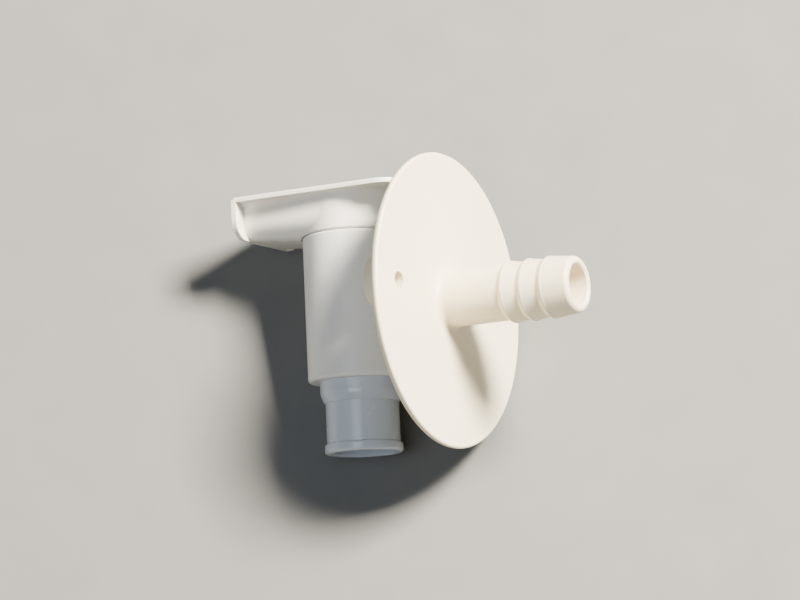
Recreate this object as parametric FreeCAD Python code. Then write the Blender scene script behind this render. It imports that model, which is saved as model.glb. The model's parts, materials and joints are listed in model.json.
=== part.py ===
import FreeCAD, Part
import math
import os

# Thru hull fitting with a built-in quarter-turn plug valve. Millimetres.
# The origin is the centre of the flange's hull-side face, +X runs out along
# the hose barb and +Z runs up the valve axis towards the lever.

# Flange and hose barb
FLANGE_R = 38.1
FLANGE_T = 2.2
RIM_FRONT = 0.6
RIM_BACK = 1.6
BORE_R = 5.2
SHANK_R = 7.1
RIDGE_R = 7.95
VALLEY_R = 7.3
RIDGES_X = (17.9, 23.3, 29.0)
STEP_RUN = 0.9
TIP_X = 36.9

# Screw pillars on the valve side of the flange
PILLAR_Y = 26.6
PILLAR_Z = 2.2
PILLAR_R = 6.8
PILLAR_H = 4.7
HOLE_R = 2.2
HEAD_R = 4.3
HEAD_DEPTH = 3.0

# Spigot behind the flange and the socket it plugs into
SPIGOT_R = 7.6
SPIGOT_END_X = -12.2
SOCKET_R = 7.65
BOSS_R = 9.8
BOSS_END_X = -2.7
GROOVE_DEPTH = 1.5
TAIL_GROOVE_X = -8.9
TAIL_ORING_RING_R = 6.92
TAIL_ORING_R = 0.7
CLIP_X = -5.2
CLIP_Y = 6.95
CLIP_WIRE_R = 0.75

# Valve body
AXIS_X = -27.0
BODY_R = 13.7
BODY_TOP = 19.7
BODY_BOTTOM = -18.3
MAIN_BORE_R = 10.2
MAIN_BORE_FLOOR = -14.3
OUTLET_SOCKET_R = 9.2
SEAT_POCKET_R = 7.0
CLEARANCE = 0.1

# Seat: a seal against the rotor, a follower ring and a wave spring
SEAT_END_X = -15.2
FOLLOWER_X = (-15.1, -14.1)
FOLLOWER_HOLE_R = 5.5
SPRING_INNER_R = 5.7
SPRING_OUTER_R = 6.8
SPRING_THICK = 0.4
SPRING_LOW_X = -14.0

# Rotor
ROTOR_R = 10.15
ROTOR_BOTTOM = -13.4
ROTOR_SHOULDER = 14.4
ROTOR_CAVITY_R = 7.2
ROTOR_CAVITY_TOP = 9.0
PORT_R = 5.2
STEM_R = 6.2
STEM_ROUND_TOP = 19.6
DRIVE_SIDE = 8.4
DRIVE_TOP = 26.8
ORING_HEIGHTS = (-9.6, 11.6)
ORING_RING_R = 9.27
ORING_R = 0.9
SCREW_HOLE_R = 1.95
SCREW_HOLE_BOTTOM = 16.2
WASHER_LOW_HOLE_R = 7.6
WASHER_LOW_TOP = -13.5
WASHER_HIGH_Z = (14.45, 15.35)

# Retaining collar in the top of the body
COLLAR_BOTTOM = 15.4
COLLAR_TOP = 19.4
COLLAR_BORE_R = 6.3
PEG_RADIUS = 9.0
PEG_R = 0.9
PEG_TOP = 21.2
GLAND_R = 7.65
GLAND_Z = (16.6, 18.0)
STEM_ORING_RING_R = 6.95
STEM_ORING_R = 0.64

# Outlet
OUTLET_R = 9.5
OUTLET_BORE_R = 8.0
OUTLET_END = -37.0
BEAD_R = 10.15
BEAD_H = 2.6
OUTLET_COLLAR_R = 10.75
OUTLET_COLLAR_SHOULDER = -21.2
OUTLET_COLLAR_BOTTOM = -23.9

# Lever: a broad top plate on the hub, a web under it and an end plate at the tip
HUB_BOTTOM = 19.83
LEVER_TOP = 31.1
PLATE_T = 1.2
LEVER_HALF_W = 16.0
LEVER_TIP = 27.6
TAIL_R = 23.6
TAIL_CORNER_R = 5.0
END_PLATE_T = 1.3
END_PLATE_BOTTOM = 20.3
END_PLATE_CORNER_R = 5.2
WEB_TIP_BOTTOM = 20.5
WEB_HUB_BOTTOM = 18.0
WEB_TIP_EDGE_R = 4.4
WEB_HUB_EDGE_R = 6.6
WEB_TIP_HALF_W = 12.0
WEB_HUB_X = 2.0
WEB_HUB_HALF_W = 13.5
BODY_GAP = 0.5
COVE = 2.0
POCKET_WALL = 1.8
POCKET_FLOOR = 23.0
RIB_HALF_T = 0.9
TAIL_RIB = ((12.0, 24.0), (13.6, 24.0), (22.0, 28.6), (22.0, 30.6), (12.0, 30.6), (12.0, 24.0))
TAIL_RIB_HALF_T = 1.0
CAP_R = 6.0
CAP_POCKET = 29.9
SCREW_SEAT = 28.0
SCREW_HEAD_R = 3.5
SCREW_HEAD_TOP = 29.8
SCREW_R = 1.85
SCREW_END = 16.6
SLOT_W = 0.8
SLOT_BOTTOM = 29.3
SCREW_WASHER_R = 4.2
SCREW_WASHER_TOP = 28.8
TURN = 90.0

X = FreeCAD.Vector(1, 0, 0)
Y = FreeCAD.Vector(0, 1, 0)
Z = FreeCAD.Vector(0, 0, 1)
ORIGIN = FreeCAD.Vector(0, 0, 0)
VALVE = FreeCAD.Vector(AXIS_X, 0, 0)


def along_x(radius, x0, x1, y=0.0, z=0.0):
    return Part.makeCylinder(radius, x1 - x0, FreeCAD.Vector(x0, y, z), X)


def along_z(radius, z0, z1, x=AXIS_X, y=0.0):
    return Part.makeCylinder(radius, z1 - z0, FreeCAD.Vector(x, y, z0), Z)


def ring_z(outer, inner, z0, z1):
    return along_z(outer, z0, z1).cut(along_z(inner, z0 - 1, z1 + 1))


def ring_x(outer, inner, x0, x1):
    return along_x(outer, x0, x1).cut(along_x(inner, x0 - 1, x1 + 1))


def square_z(side, z0, z1):
    corner = FreeCAD.Vector(AXIS_X - side / 2, -side / 2, z0)
    return Part.makeBox(side, side, z1 - z0, corner)


def oring_z(ring_r, wire_r, z):
    return Part.makeTorus(ring_r, wire_r, FreeCAD.Vector(AXIS_X, 0, z), Z)


def turned(profile, along, origin=ORIGIN):
    """Revolve a closed profile; a three-item entry is an arc (mid, end) from the point before."""
    def point(pair):
        position, radius = pair
        if along == X:
            return FreeCAD.Vector(position, radius, 0)
        return origin + FreeCAD.Vector(radius, 0, position)

    edges = []
    here = profile[0]
    for step in profile[1:] + [profile[0]]:
        if len(step) == 3:
            middle, end = step[1], step[2]
            edges.append(Part.Arc(point(here), point(middle), point(end)).toShape())
            here = end
        else:
            edges.append(Part.makeLine(point(here), point(step)))
            here = step
    face = Part.Face(Part.Wire(edges))
    return face.revolve(origin, along, 360)


def solid(shape):
    return shape.removeSplitter()


def flange_tailpiece():
    groove = SPIGOT_R - GROOVE_DEPTH
    profile = [(SPIGOT_END_X, BORE_R), (SPIGOT_END_X, SPIGOT_R - 0.5), (SPIGOT_END_X + 0.5, SPIGOT_R)]
    for centre, width in ((TAIL_GROOVE_X, 2.1), (CLIP_X, 1.9)):
        profile += [(centre - width / 2, SPIGOT_R), (centre - width / 2, groove),
                    (centre + width / 2, groove), (centre + width / 2, SPIGOT_R)]
    bulge = math.sqrt(0.5)
    profile += [(-FLANGE_T, SPIGOT_R), (-FLANGE_T, FLANGE_R - RIM_BACK),
                ("arc", (-RIM_FRONT - RIM_BACK * bulge, FLANGE_R - RIM_BACK * (1 - bulge)),
                 (-RIM_FRONT, FLANGE_R)),
                ("arc", (-RIM_FRONT * (1 - bulge), FLANGE_R - RIM_FRONT * (1 - bulge)),
                 (0.0, FLANGE_R - RIM_FRONT)),
                (0.0, SHANK_R + 2.0),
                ("arc", (2.0 * (1 - bulge), SHANK_R + 2.0 * (1 - bulge)), (2.0, SHANK_R)),
                (RIDGES_X[0] - STEP_RUN, SHANK_R)]
    ends = [x - STEP_RUN for x in RIDGES_X[1:]] + [TIP_X - 1.3]
    for x, end in zip(RIDGES_X, ends):
        profile += [(x, RIDGE_R - 0.3), ("arc", (x + 0.35, RIDGE_R - 0.04), (x + 1.1, RIDGE_R - 0.08)),
                    (end, VALLEY_R)]
    profile += [("arc", (TIP_X - 0.3, VALLEY_R - 0.35), (TIP_X, BORE_R + 0.35)), (TIP_X - 0.35, BORE_R)]
    part = turned(profile, X)
    back = -FLANGE_T - PILLAR_H
    for side in (-1, 1):
        y = side * PILLAR_Y
        pillar = along_x(PILLAR_R, back, -FLANGE_T + 0.5, y, PILLAR_Z)
        rim_edges = [e for e in pillar.Edges if e.isClosed() and abs(e.BoundBox.XMin - back) < 0.01
                     and e.BoundBox.XLength < 0.01]
        part = part.fuse(pillar.makeFillet(0.8, rim_edges))
    for side in (-1, 1):
        y = side * PILLAR_Y
        part = part.cut(along_x(HOLE_R, back - 1, 1, y, PILLAR_Z))
        part = part.cut(along_x(HEAD_R, back - 1, back + HEAD_DEPTH, y, PILLAR_Z))
    return solid(part)


def tail_clip():
    """U-shaped wire clip whose legs pass through the socket wall and catch the spigot's groove."""
    bridge_z = BOSS_R + 1.6
    bend = 2.2
    bottom = -BOSS_R + 1.0
    left, right = -CLIP_Y, CLIP_Y

    def at(y, z):
        return FreeCAD.Vector(CLIP_X, y, z)

    cut = bend * (1 - math.sqrt(0.5))
    path = Part.Wire([
        Part.makeLine(at(left, bottom), at(left, bridge_z - bend)),
        Part.Arc(at(left, bridge_z - bend), at(left + cut, bridge_z - cut),
                 at(left + bend, bridge_z)).toShape(),
        Part.makeLine(at(left + bend, bridge_z), at(right - bend, bridge_z)),
        Part.Arc(at(right - bend, bridge_z), at(right - cut, bridge_z - cut),
                 at(right, bridge_z - bend)).toShape(),
        Part.makeLine(at(right, bridge_z - bend), at(right, bottom))])
    section = Part.Wire(Part.makeCircle(CLIP_WIRE_R, at(left, bottom), Z))
    return path.makePipeShell([section], True, True)


def valve_body():
    profile = [(BODY_BOTTOM, 0.0), (BODY_BOTTOM, BODY_R - 0.9),
               ("arc", (BODY_BOTTOM + 0.26, BODY_R - 0.26), (BODY_BOTTOM + 0.9, BODY_R)),
               (BODY_TOP - 0.6, BODY_R),
               ("arc", (BODY_TOP - 0.18, BODY_R - 0.18), (BODY_TOP, BODY_R - 0.6)),
               (BODY_TOP, 0.0)]
    part = turned(profile, Z, VALVE)
    boss = along_x(BOSS_R, AXIS_X, BOSS_END_X)
    part = part.fuse(boss)
    part = part.cut(along_z(MAIN_BORE_R, MAIN_BORE_FLOOR, BODY_TOP + 1))
    part = part.cut(along_z(OUTLET_SOCKET_R, BODY_BOTTOM - 1, MAIN_BORE_FLOOR + 1))
    part = part.cut(along_x(SEAT_POCKET_R, AXIS_X, SPIGOT_END_X + 1))
    part = part.cut(along_x(SOCKET_R, SPIGOT_END_X - 0.05, BOSS_END_X + 1))
    for side in (-1, 1):
        part = part.cut(along_z(CLIP_WIRE_R + 0.08, -BOSS_R, BOSS_R + 1, CLIP_X, side * CLIP_Y))
    return solid(part)


def seat_seal():
    blank = ring_x(SEAT_POCKET_R - CLEARANCE, PORT_R, AXIS_X + 4, SEAT_END_X)
    return solid(blank.cut(along_z(ROTOR_R + 0.03, -SEAT_POCKET_R, SEAT_POCKET_R)))


def seat_spring():
    """Wave ring: three crests between the follower and the spigot's end."""
    high = SPIGOT_END_X - CLEARANCE - SPRING_THICK
    middle, swing = (SPRING_LOW_X + high) / 2, (high - SPRING_LOW_X) / 2

    def curve(radius, lift):
        points = []
        for step in range(36):
            angle = math.radians(step * 10)
            x = middle + swing * math.sin(3 * angle) + lift
            points.append(FreeCAD.Vector(x, radius * math.cos(angle), radius * math.sin(angle)))
        spline = Part.BSplineCurve()
        spline.interpolate(Points=points, PeriodicFlag=True)
        return spline.toShape()

    section = [(SPRING_INNER_R, 0.0), (SPRING_OUTER_R, 0.0), (SPRING_OUTER_R, SPRING_THICK),
               (SPRING_INNER_R, SPRING_THICK)]
    rings = [curve(radius, lift) for radius, lift in section]
    faces = [Part.makeRuledSurface(a, b) for a, b in zip(rings, rings[1:] + rings[:1])]
    shell = Part.makeShell([f for face in faces for f in face.Faces])
    shell.sewShape()
    return Part.Solid(shell)


def rotor():
    part = along_z(ROTOR_R, ROTOR_BOTTOM, ROTOR_SHOULDER)
    part = part.fuse(along_z(STEM_R, ROTOR_SHOULDER - 1, STEM_ROUND_TOP))
    part = part.fuse(square_z(DRIVE_SIDE, STEM_ROUND_TOP - 1, DRIVE_TOP))
    part = part.cut(along_z(ROTOR_CAVITY_R, ROTOR_BOTTOM - 1, ROTOR_CAVITY_TOP))
    part = part.cut(along_x(PORT_R, AXIS_X, AXIS_X + ROTOR_R + 2))
    for height in ORING_HEIGHTS:
        part = part.cut(ring_z(ROTOR_R + 1, ORING_RING_R - ORING_R - 0.05, height - 1.1, height + 1.1))
    return solid(part.cut(along_z(SCREW_HOLE_R, SCREW_HOLE_BOTTOM, DRIVE_TOP + 1)))


def retaining_collar():
    part = ring_z(MAIN_BORE_R - 0.05, COLLAR_BORE_R, COLLAR_BOTTOM, COLLAR_TOP)
    part = part.cut(ring_z(GLAND_R, COLLAR_BORE_R - CLEARANCE, *GLAND_Z))
    return solid(part.fuse(along_z(PEG_R, COLLAR_TOP - 1, PEG_TOP, AXIS_X, -PEG_RADIUS)))


def outlet_spigot():
    bead_top = OUTLET_END + BEAD_H
    profile = [(OUTLET_END, OUTLET_BORE_R + 0.4), (OUTLET_END, BEAD_R - 0.8),
               ("arc", (OUTLET_END + 0.23, BEAD_R - 0.23), (OUTLET_END + 0.8, BEAD_R)),
               (bead_top - 0.7, BEAD_R),
               ("arc", (bead_top - 0.2, BEAD_R - 0.2), (bead_top, OUTLET_R)),
               (BODY_BOTTOM - 0.02, OUTLET_R), (BODY_BOTTOM - 0.02, OUTLET_SOCKET_R - 0.05),
               (MAIN_BORE_FLOOR - 0.1, OUTLET_SOCKET_R - 0.05), (MAIN_BORE_FLOOR - 0.1, OUTLET_BORE_R),
               (OUTLET_END + 0.4, OUTLET_BORE_R)]
    return solid(turned(profile, Z, VALVE))


def outlet_collar():
    top, bottom = BODY_BOTTOM - 0.02, OUTLET_COLLAR_BOTTOM
    middle = (OUTLET_COLLAR_SHOULDER + bottom) / 2
    profile = [(top, OUTLET_R + 0.02), (top, OUTLET_COLLAR_R), (OUTLET_COLLAR_SHOULDER, OUTLET_COLLAR_R),
               ("arc", (middle, OUTLET_COLLAR_R - 0.35), (bottom, OUTLET_R + 0.3)),
               (bottom, OUTLET_R + 0.02)]
    return solid(turned(profile, Z, VALVE))


def lever_box(x0, x1, half, z0, z1):
    """Box centred on the lever's long axis, between two distances from the valve axis."""
    return Part.makeBox(x1 - x0, 2 * half, z1 - z0, FreeCAD.Vector(AXIS_X + x0, -half, z0))


def web_section(x, half, bottom, edge_r, plate_bottom):
    """Section across the web: coves under the plate, straight sides and a rounded underside."""
    def at(y, z):
        return FreeCAD.Vector(AXIS_X + x, y, z)

    turn = math.sqrt(0.5)
    edges = []
    for side in (-1, 1):
        top = at(side * (half + COVE), plate_bottom + 0.1)
        cove_start = at(side * (half + COVE), plate_bottom)
        cove_middle = at(side * (half + COVE * (1 - turn)), plate_bottom - COVE * (1 - turn))
        cove_end = at(side * half, plate_bottom - COVE)
        edge_start = at(side * half, bottom + edge_r)
        edge_middle = at(side * (half - edge_r * (1 - turn)), bottom + edge_r * (1 - turn))
        edge_end = at(side * (half - edge_r), bottom)
        edges += [Part.makeLine(top, cove_start), Part.Arc(cove_start, cove_middle, cove_end).toShape(),
                  Part.makeLine(cove_end, edge_start),
                  Part.Arc(edge_start, edge_middle, edge_end).toShape()]
    edges.append(Part.makeLine(at(-half + edge_r, bottom), at(half - edge_r, bottom)))
    edges.append(Part.makeLine(at(half + COVE, plate_bottom + 0.1), at(-half - COVE, plate_bottom + 0.1)))
    return Part.Wire(Part.__sortEdges__(edges))


def lever_web(plate_bottom):
    tip = web_section(-LEVER_TIP + 0.5, WEB_TIP_HALF_W, WEB_TIP_BOTTOM, WEB_TIP_EDGE_R, plate_bottom)
    hub = web_section(-WEB_HUB_X, WEB_HUB_HALF_W, WEB_HUB_BOTTOM, WEB_HUB_EDGE_R, plate_bottom)
    web = Part.makeLoft([tip, hub], True, True)
    return web.cut(along_z(BODY_R + BODY_GAP, WEB_HUB_BOTTOM - 1, HUB_BOTTOM))


def lever_hub(plate_bottom):
    cove = (plate_bottom - COVE * (1 - math.sqrt(0.5)), BODY_R + COVE * (1 - math.sqrt(0.5)))
    profile = [(HUB_BOTTOM, 0.0), (HUB_BOTTOM, BODY_R - 0.4), (HUB_BOTTOM + 0.4, BODY_R),
               (plate_bottom - COVE, BODY_R), ("arc", cove, (plate_bottom, BODY_R + COVE)),
               (plate_bottom + 0.2, BODY_R + COVE), (plate_bottom + 0.2, 0.0)]
    return turned(profile, Z, VALVE)


def lever_pocket():
    """Pocket moulded down into the web from above, split by a middle rib and kept clear of the hub."""
    half = WEB_TIP_HALF_W - POCKET_WALL
    pocket = lever_box(-LEVER_TIP + END_PLATE_T + POCKET_WALL, 0, half, POCKET_FLOOR, LEVER_TOP + 1)
    pocket = pocket.cut(along_z(BODY_R + POCKET_WALL, POCKET_FLOOR - 1, LEVER_TOP + 2))
    return pocket.cut(lever_box(-LEVER_TIP, 0, RIB_HALF_T, POCKET_FLOOR - 1, LEVER_TOP + 2))


def handle_lever():
    plate_bottom = LEVER_TOP - PLATE_T
    tip_half = lever_box(-LEVER_TIP, 0, LEVER_HALF_W, plate_bottom, LEVER_TOP)
    tip_corners = [e for e in tip_half.Edges if e.BoundBox.ZLength > 1 and e.BoundBox.XMax < AXIS_X - 1]
    tip_half = tip_half.makeFillet(0.9, tip_corners)
    tail_half = along_z(TAIL_R, plate_bottom, LEVER_TOP).common(
        lever_box(-1, TAIL_R + 1, LEVER_HALF_W, plate_bottom, LEVER_TOP))
    plate = tip_half.fuse(tail_half).removeSplitter()
    tail_corners = [e for e in plate.Edges if e.BoundBox.ZLength > 1 and e.BoundBox.XMin > AXIS_X + 1
                    and e.BoundBox.XLength < 0.01]
    plate = plate.makeFillet(TAIL_CORNER_R, tail_corners)
    top_edges = [e for e in plate.Edges if e.BoundBox.ZMin > LEVER_TOP - 0.01]
    plate = plate.makeFillet(0.35, top_edges)
    end_plate = lever_box(-LEVER_TIP, -LEVER_TIP + END_PLATE_T, LEVER_HALF_W, END_PLATE_BOTTOM,
                          LEVER_TOP - 0.5)
    low_corners = [e for e in end_plate.Edges
                   if e.BoundBox.XLength > 1 and e.BoundBox.ZMax < END_PLATE_BOTTOM + 0.01]
    end_plate = end_plate.makeFillet(END_PLATE_CORNER_R, low_corners)
    corners = [FreeCAD.Vector(AXIS_X + x, -TAIL_RIB_HALF_T, z) for x, z in TAIL_RIB]
    rib = Part.Face(Part.makePolygon(corners)).extrude(2 * TAIL_RIB_HALF_T * Y)
    part = plate.fuse([end_plate, lever_web(plate_bottom), lever_hub(plate_bottom), rib])
    part = part.cut(lever_pocket())
    part = part.cut(square_z(DRIVE_SIDE + 0.1, HUB_BOTTOM - 1, DRIVE_TOP + 0.3))
    part = part.cut(along_z(SCREW_R + 0.25, DRIVE_TOP, LEVER_TOP + 1))
    part = part.cut(along_z(SCREW_WASHER_R + 0.2, SCREW_SEAT, LEVER_TOP + 1))
    part = part.cut(along_z(CAP_R + 0.05, CAP_POCKET, LEVER_TOP + 1))
    return solid(part.cut(stop_track()))


def stop_track():
    """Arc pocket in the hub's underside: the peg meets its ends when the lever is open or closed."""
    inner, outer = PEG_RADIUS - PEG_R - 0.35, PEG_RADIUS + PEG_R + 0.35
    bottom, top = HUB_BOTTOM - 1, PEG_TOP + 0.5
    spare = math.degrees((PEG_R + 0.35) / PEG_RADIUS)
    blank = FreeCAD.Vector(inner, 0, bottom)
    face = Part.Face(Part.makePolygon([blank, blank + FreeCAD.Vector(outer - inner, 0, 0),
                                       blank + FreeCAD.Vector(outer - inner, 0, top - bottom),
                                       blank + FreeCAD.Vector(0, 0, top - bottom), blank]))
    track = face.revolve(ORIGIN, Z, TURN + 2 * spare)
    track.rotate(ORIGIN, Z, -90 - TURN - spare)
    track.translate(VALVE)
    return track


def handle_screw():
    head = along_z(SCREW_HEAD_R, SCREW_WASHER_TOP + 0.05, SCREW_HEAD_TOP)
    corner = FreeCAD.Vector(AXIS_X - SCREW_HEAD_R - 1, -SLOT_W / 2, SLOT_BOTTOM)
    slot = Part.makeBox(2 * SCREW_HEAD_R + 2, SLOT_W, SCREW_HEAD_TOP - SLOT_BOTTOM + 1, corner)
    return solid(head.cut(slot).fuse(along_z(SCREW_R, SCREW_END, SCREW_WASHER_TOP + 0.2)))


def handle_cap():
    profile = [(CAP_POCKET + 0.05, 0.0), (CAP_POCKET + 0.05, CAP_R), (LEVER_TOP, CAP_R),
               (LEVER_TOP + 0.2, CAP_R - 0.5), (LEVER_TOP + 0.2, 0.0)]
    return solid(turned(profile, Z, VALVE))


def tail_oring():
    return Part.makeTorus(TAIL_ORING_RING_R, TAIL_ORING_R, FreeCAD.Vector(TAIL_GROOVE_X, 0, 0), X)


def seat_follower():
    return ring_x(SEAT_POCKET_R - CLEARANCE, FOLLOWER_HOLE_R, *FOLLOWER_X)


def thrust_washer_upper():
    return ring_z(MAIN_BORE_R - CLEARANCE, COLLAR_BORE_R, *WASHER_HIGH_Z)


def thrust_washer_lower():
    return ring_z(MAIN_BORE_R - CLEARANCE, WASHER_LOW_HOLE_R, MAIN_BORE_FLOOR + 0.02, WASHER_LOW_TOP)


def screw_washer():
    return ring_z(SCREW_WASHER_R, SCREW_R + 0.15, SCREW_SEAT + 0.03, SCREW_WASHER_TOP)


PARTS = {
    "flange_tailpiece": flange_tailpiece(),
    "tail_oring": tail_oring(),
    "tail_clip": tail_clip(),
    "valve_body": valve_body(),
    "seat_seal": seat_seal(),
    "seat_follower": seat_follower(),
    "seat_spring": seat_spring(),
    "rotor": rotor(),
    "rotor_oring_upper": oring_z(ORING_RING_R, ORING_R, ORING_HEIGHTS[1]),
    "rotor_oring_lower": oring_z(ORING_RING_R, ORING_R, ORING_HEIGHTS[0]),
    "thrust_washer_upper": thrust_washer_upper(),
    "thrust_washer_lower": thrust_washer_lower(),
    "retaining_collar": retaining_collar(),
    "stem_oring": oring_z(STEM_ORING_RING_R, STEM_ORING_R, sum(GLAND_Z) / 2),
    "outlet_spigot": outlet_spigot(),
    "outlet_collar": outlet_collar(),
    "handle_lever": handle_lever(),
    "screw_washer": screw_washer(),
    "handle_screw": handle_screw(),
    "handle_cap": handle_cap(),
}

os.makedirs("parts", exist_ok=True)
for name, shape in PARTS.items():
    shape.exportStep("parts/" + name + ".step")
    print(name, "solids", len(shape.Solids), "valid", shape.isValid(), "volume", round(shape.Volume, 1))
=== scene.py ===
import json
import math

import bpy
from mathutils import Matrix, Vector

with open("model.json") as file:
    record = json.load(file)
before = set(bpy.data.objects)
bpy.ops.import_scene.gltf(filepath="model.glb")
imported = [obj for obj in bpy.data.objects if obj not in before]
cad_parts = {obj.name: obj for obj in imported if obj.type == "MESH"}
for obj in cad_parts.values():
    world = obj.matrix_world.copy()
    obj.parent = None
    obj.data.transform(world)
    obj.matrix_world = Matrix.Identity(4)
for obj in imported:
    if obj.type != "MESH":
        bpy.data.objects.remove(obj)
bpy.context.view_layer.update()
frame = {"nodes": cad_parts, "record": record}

# Degrees and metres, in the part's own frame: +X out along the barb, +Z up the valve axis.
# The lens is in millimetres.
CAMERA_AZIMUTH = 28.8
CAMERA_ELEVATION = -8.5
CAMERA_ROLL = -2.5
CAMERA_DISTANCE = 1.0
LENS = 176.0
LEFT_OF_FLANGE = 0.0128
# The flange's rim, the lever's tip and the outlet's bead rest on the table.
TABLE_NORMAL = Vector((0.50, -0.82, 0.28)).normalized()
TABLE_SIZE = 4.0
TABLE_GAP = 0.0002
TABLE_ROUGHNESS = 0.75
SEAM_HALF_WIDTH = 0.00013

# Lights: direction as (right, up, back) of the camera, distance and size in metres, watts, colour.
KEY_LIGHT = ((0.47, 0.63, 0.62), 1.5, 0.44, 215.0, (1.0, 0.93, 0.80))
FILL_LIGHT = ((-0.38, -0.05, 1.0), 1.1, 0.6, 6.5, (0.84, 0.92, 1.0))
WORLD_COLOUR = (0.84, 0.86, 0.90, 1.0)
WORLD_STRENGTH = 0.08

# Two tones of each material, which its noise mixes.
FLANGE_TONES = ((0.80, 0.715, 0.53), (0.77, 0.675, 0.485))
BODY_TONES = ((0.74, 0.725, 0.69), (0.70, 0.685, 0.65))
LEVER_TONES = ((0.80, 0.77, 0.70), (0.765, 0.73, 0.655))
OUTLET_TONES = ((0.52, 0.56, 0.61), (0.47, 0.51, 0.56))
ROTOR_TONES = ((0.60, 0.61, 0.62), (0.55, 0.56, 0.57))
SEAT_TONES = ((0.82, 0.82, 0.80), (0.78, 0.78, 0.76))
RUBBER_TONES = ((0.012, 0.012, 0.013), (0.03, 0.03, 0.031))
STEEL_TONES = ((0.50, 0.50, 0.48), (0.66, 0.66, 0.64))
TABLE_TONES = ((0.125, 0.125, 0.121), (0.135, 0.135, 0.130))

# Noise in the plastics: features to the metre, detail, roughness, and how much finer along X, Y, Z.
FLOW = (38, 4, 0.55, (1, 1, 0.45))
SPECKS = (2100, 1.0, 0.4)
SCUFFS = (210, 3.0, 0.6, (7, 1, 0.6))
GRIME = (95, 5.0, 0.62)
GLOSS = (130, 4.0, 0.6)
GRAIN = (2600, 2.0)
RIPPLE = (90, 2.0)
# Noise in the rubber, the steel and the table.
RUBBER_MOTTLE = (700, 3.0)
RUBBER_GLOSS = (400,)
RUBBER_GRAIN = (3000,)
BRUSHING = (1200, 4.0, 0.6, (0.06, 1, 1))
TABLE_MOTTLE = (60, 3.0)

# The part of a noise's values that is spread over its whole effect.
USUAL_RANGE = (0.3, 0.7)
FLOW_RANGE = (0.35, 0.68)
SPECK_RANGE = (0.70, 0.78)
SCUFF_RANGE = (0.66, 0.74)
GRIME_RANGE = (0.60, 0.80)

# How dark the grime and the specks are beside the plastic, and the most that each shows.
GRIME_TONE = 0.86
GRIME_MOST = 0.45
SPECK_TONE = 0.62
SPECK_MOST = 0.35

# Bumps: strength, and depth in metres. The outlet's surface is smoother than the others.
GRAIN_STRENGTH = 0.12
OUTLET_GRAIN_STRENGTH = 0.06
GRAIN_DEPTH = 0.00004
RIPPLE_BUMP = (0.16, 0.0002)
SCUFF_BUMP = (0.10, 0.00003)
SEAM_BUMP = (0.3, 0.00008)
RUBBER_BUMP = (0.2, 0.00005)
BRUSHED_BUMP = (0.15, 0.00003)

# Shader values of the plastics, whose roughness varies by GLOSS_SPREAD each way, and the lowest and
# highest roughness of the rubber and the steel.
GLOSS_SPREAD = 0.08
PLASTIC_IOR = 1.49
SUBSURFACE_WEIGHT = 0.12
SUBSURFACE_RADIUS = (1.0, 0.9, 0.75)
SUBSURFACE_SCALE = 0.0015
RUBBER_ROUGHNESS = (0.42, 0.6)
STEEL_ROUGHNESS = (0.22, 0.38)


def node_material(name):
    material = bpy.data.materials.new(name)
    material.use_nodes = True
    tree = material.node_tree
    return material, tree, tree.nodes["Principled BSDF"]


def add(tree, kind, settings=None, **values):
    node = tree.nodes.new(kind)
    for key, value in (settings or {}).items():
        setattr(node, key, value)
    for key, value in values.items():
        node.inputs[key.replace("_", " ")].default_value = value
    return node


def noise(tree, scale, detail=2.0, rough=0.5, finer=(1, 1, 1)):
    """Noise in the part's frame, with features of about 1/scale metres."""
    place = add(tree, "ShaderNodeTexCoord")
    mapping = add(tree, "ShaderNodeMapping")
    mapping.inputs["Scale"].default_value = finer
    tree.links.new(place.outputs["Object"], mapping.inputs["Vector"])
    node = add(tree, "ShaderNodeTexNoise", Scale=scale, Detail=detail, Roughness=rough)
    tree.links.new(mapping.outputs["Vector"], node.inputs["Vector"])
    return node.outputs["Fac"]


def remap(tree, socket, low, high, out_low=0.0, out_high=1.0):
    node = add(tree, "ShaderNodeMapRange")
    node.inputs["From Min"].default_value = low
    node.inputs["From Max"].default_value = high
    node.inputs["To Min"].default_value = out_low
    node.inputs["To Max"].default_value = out_high
    tree.links.new(socket, node.inputs["Value"])
    return node.outputs["Result"]


def mix_colour(tree, factor, first, second):
    node = add(tree, "ShaderNodeMix", {"data_type": "RGBA"})
    for socket, value in ((node.inputs[6], first), (node.inputs[7], second)):
        if isinstance(value, tuple):
            socket.default_value = (*value, 1.0)
        else:
            tree.links.new(value, socket)
    tree.links.new(factor, node.inputs[0])
    return node.outputs[2]


def stack_bumps(tree, heights):
    """Chain of bumps: each entry is (height socket, strength, depth in metres)."""
    normal = None
    for socket, strength, depth in heights:
        bump = add(tree, "ShaderNodeBump", Strength=strength, Distance=depth)
        tree.links.new(socket, bump.inputs["Height"])
        if normal:
            tree.links.new(normal, bump.inputs["Normal"])
        normal = bump.outputs["Normal"]
    return normal


def seam_height(tree):
    """Fine raised parting line where the mould's halves met, on the plane y = 0."""
    place = add(tree, "ShaderNodeTexCoord")
    split = add(tree, "ShaderNodeSeparateXYZ")
    tree.links.new(place.outputs["Object"], split.inputs["Vector"])
    size = add(tree, "ShaderNodeMath", {"operation": "ABSOLUTE"})
    tree.links.new(split.outputs["Y"], size.inputs[0])
    return remap(tree, size.outputs[0], 0.0, SEAM_HALF_WIDTH, 1.0, 0.0)


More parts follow.
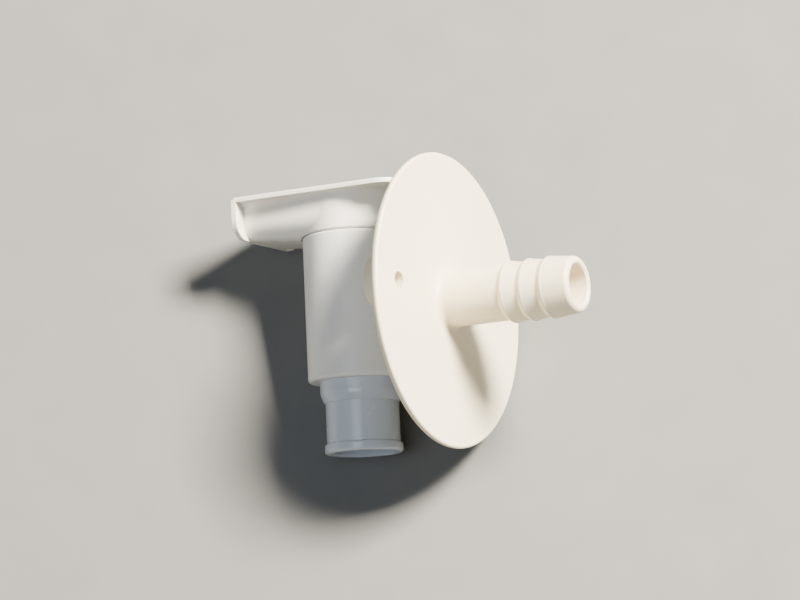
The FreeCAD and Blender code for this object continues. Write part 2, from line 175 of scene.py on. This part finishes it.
def moulded_plastic(name, tones, roughness, grain=GRAIN_STRENGTH, seam=False):
    """Injection moulded plastic: faint flow mottling, fine grain, thin scuffs and handling dirt."""
    material, tree, shader = node_material(name)
    link = tree.links.new
    flow = remap(tree, noise(tree, *FLOW), *FLOW_RANGE)
    specks = remap(tree, noise(tree, *SPECKS), *SPECK_RANGE)
    scuffs = remap(tree, noise(tree, *SCUFFS), *SCUFF_RANGE)
    base = mix_colour(tree, flow, *tones)
    smudge = tuple(value * GRIME_TONE for value in tones[0])
    grime = remap(tree, noise(tree, *GRIME), *GRIME_RANGE, 0.0, GRIME_MOST)
    base = mix_colour(tree, grime, base, smudge)
    dark = tuple(value * SPECK_TONE for value in tones[0])
    base = mix_colour(tree, remap(tree, specks, 0, 1, 0, SPECK_MOST), base, dark)
    link(base, shader.inputs["Base Color"])
    limits = (roughness - GLOSS_SPREAD, roughness + GLOSS_SPREAD)
    varied = remap(tree, noise(tree, *GLOSS), *USUAL_RANGE, *limits)
    link(varied, shader.inputs["Roughness"])
    heights = [(noise(tree, *GRAIN), grain, GRAIN_DEPTH), (noise(tree, *RIPPLE), *RIPPLE_BUMP),
               (scuffs, *SCUFF_BUMP)]
    if seam:
        heights.append((seam_height(tree), *SEAM_BUMP))
    link(stack_bumps(tree, heights), shader.inputs["Normal"])
    shader.inputs["IOR"].default_value = PLASTIC_IOR
    shader.inputs["Subsurface Weight"].default_value = SUBSURFACE_WEIGHT
    shader.inputs["Subsurface Radius"].default_value = SUBSURFACE_RADIUS
    shader.inputs["Subsurface Scale"].default_value = SUBSURFACE_SCALE
    return material


def rubber():
    """Black rubber of the O-rings: mottled, with a fine grain."""
    material, tree, shader = node_material("seal_rubber")
    mottle = remap(tree, noise(tree, *RUBBER_MOTTLE), *USUAL_RANGE)
    tree.links.new(mix_colour(tree, mottle, *RUBBER_TONES), shader.inputs["Base Color"])
    gloss = remap(tree, noise(tree, *RUBBER_GLOSS), *USUAL_RANGE, *RUBBER_ROUGHNESS)
    tree.links.new(gloss, shader.inputs["Roughness"])
    tree.links.new(stack_bumps(tree, [(noise(tree, *RUBBER_GRAIN), *RUBBER_BUMP)]), shader.inputs["Normal"])
    return material


def stainless():
    """Brushed stainless steel, with its fine lines along X."""
    material, tree, shader = node_material("stainless")
    brushed = noise(tree, *BRUSHING)
    tone = mix_colour(tree, remap(tree, brushed, *USUAL_RANGE), *STEEL_TONES)
    tree.links.new(tone, shader.inputs["Base Color"])
    tree.links.new(remap(tree, brushed, *USUAL_RANGE, *STEEL_ROUGHNESS), shader.inputs["Roughness"])
    tree.links.new(stack_bumps(tree, [(brushed, *BRUSHED_BUMP)]), shader.inputs["Normal"])
    shader.inputs["Metallic"].default_value = 1.0
    return material


def make_materials():
    return {
        "flange_plastic": moulded_plastic("flange_plastic", FLANGE_TONES, 0.40),
        "body_plastic": moulded_plastic("body_plastic", BODY_TONES, 0.40, seam=True),
        "lever_plastic": moulded_plastic("lever_plastic", LEVER_TONES, 0.38),
        "outlet_plastic": moulded_plastic("outlet_plastic", OUTLET_TONES, 0.22, OUTLET_GRAIN_STRENGTH,
                                          seam=True),
        "rotor_plastic": moulded_plastic("rotor_plastic", ROTOR_TONES, 0.35),
        "seat_plastic": moulded_plastic("seat_plastic", SEAT_TONES, 0.45),
        "seal_rubber": rubber(),
        "stainless": stainless(),
    }


def paint_nodes():
    materials = make_materials()
    for entry in frame["record"]["subparts"]:
        piece = frame["nodes"][entry["node"]]
        material = materials[entry["material_slot"]]
        if not piece.data.materials:
            piece.data.materials.append(material)
        for slot in piece.material_slots:
            slot.material = material


def camera_axes():
    azimuth, elevation = math.radians(CAMERA_AZIMUTH), math.radians(CAMERA_ELEVATION)
    back = Vector((math.sin(azimuth) * math.cos(elevation), -math.cos(azimuth) * math.cos(elevation),
                   math.sin(elevation)))
    right = Vector((0, 0, 1)).cross(back).normalized()
    turn = Matrix.Rotation(math.radians(CAMERA_ROLL), 3, back)
    right = turn @ right
    return right, back.cross(right), back


def add_camera():
    right, up, back = camera_axes()
    data = bpy.data.cameras.new("camera")
    data.lens = LENS
    data.clip_start = 0.01
    camera = bpy.data.objects.new("camera", data)
    bpy.context.scene.collection.objects.link(camera)
    aim = -LEFT_OF_FLANGE * right
    rotation = Matrix((right, up, back)).transposed().to_4x4()
    camera.matrix_world = Matrix.Translation(aim + CAMERA_DISTANCE * back) @ rotation
    bpy.context.scene.camera = camera


def add_light(name, toward, distance, size, power, colour):
    """Square soft light that shines from the direction `toward` (right, up, back) at the part."""
    right, up, back = camera_axes()
    direction = (toward[0] * right + toward[1] * up + toward[2] * back).normalized()
    data = bpy.data.lights.new(name, "AREA")
    data.size = size
    data.energy = power
    data.color = colour
    light = bpy.data.objects.new(name, data)
    bpy.context.scene.collection.objects.link(light)
    light.rotation_mode = "QUATERNION"
    light.rotation_quaternion = direction.to_track_quat("Z", "Y")
    light.location = direction * distance


def lowest_along(normal):
    """Level of the part's lowest point along `normal`, from the origin."""
    reach = 0.0
    for piece in frame["nodes"].values():
        for vertex in piece.data.vertices:
            reach = min(reach, vertex.co.dot(normal))
    return reach


def table_material():
    material, tree, shader = node_material("table_top")
    tone = mix_colour(tree, remap(tree, noise(tree, *TABLE_MOTTLE), *USUAL_RANGE), *TABLE_TONES)
    tree.links.new(tone, shader.inputs["Base Color"])
    shader.inputs["Roughness"].default_value = TABLE_ROUGHNESS
    # Seen from underneath the table is clear, so that every side of the part can be viewed.
    side = add(tree, "ShaderNodeNewGeometry")
    clear = add(tree, "ShaderNodeBsdfTransparent")
    choose = add(tree, "ShaderNodeMixShader")
    tree.links.new(side.outputs["Backfacing"], choose.inputs[0])
    tree.links.new(shader.outputs[0], choose.inputs[1])
    tree.links.new(clear.outputs[0], choose.inputs[2])
    tree.links.new(choose.outputs[0], tree.nodes["Material Output"].inputs["Surface"])
    return material


def add_table():
    mesh = bpy.data.meshes.new("table")
    half = TABLE_SIZE / 2
    corners = [(-half, -half, 0), (half, -half, 0), (half, half, 0), (-half, half, 0)]
    mesh.from_pydata(corners, [], [(0, 1, 2, 3)])
    table = bpy.data.objects.new("table", mesh)
    bpy.context.scene.collection.objects.link(table)
    table.rotation_mode = "QUATERNION"
    table.rotation_quaternion = TABLE_NORMAL.to_track_quat("Z", "Y")
    table.location = TABLE_NORMAL * (lowest_along(TABLE_NORMAL) - TABLE_GAP)
    mesh.materials.append(table_material())


def add_world():
    world = bpy.data.worlds.new("studio")
    world.use_nodes = True
    background = world.node_tree.nodes["Background"]
    background.inputs["Color"].default_value = WORLD_COLOUR
    background.inputs["Strength"].default_value = WORLD_STRENGTH
    bpy.context.scene.world = world


add_camera()
add_light("key", *KEY_LIGHT)
add_light("fill", *FILL_LIGHT)
add_world()
add_table()
paint_nodes()
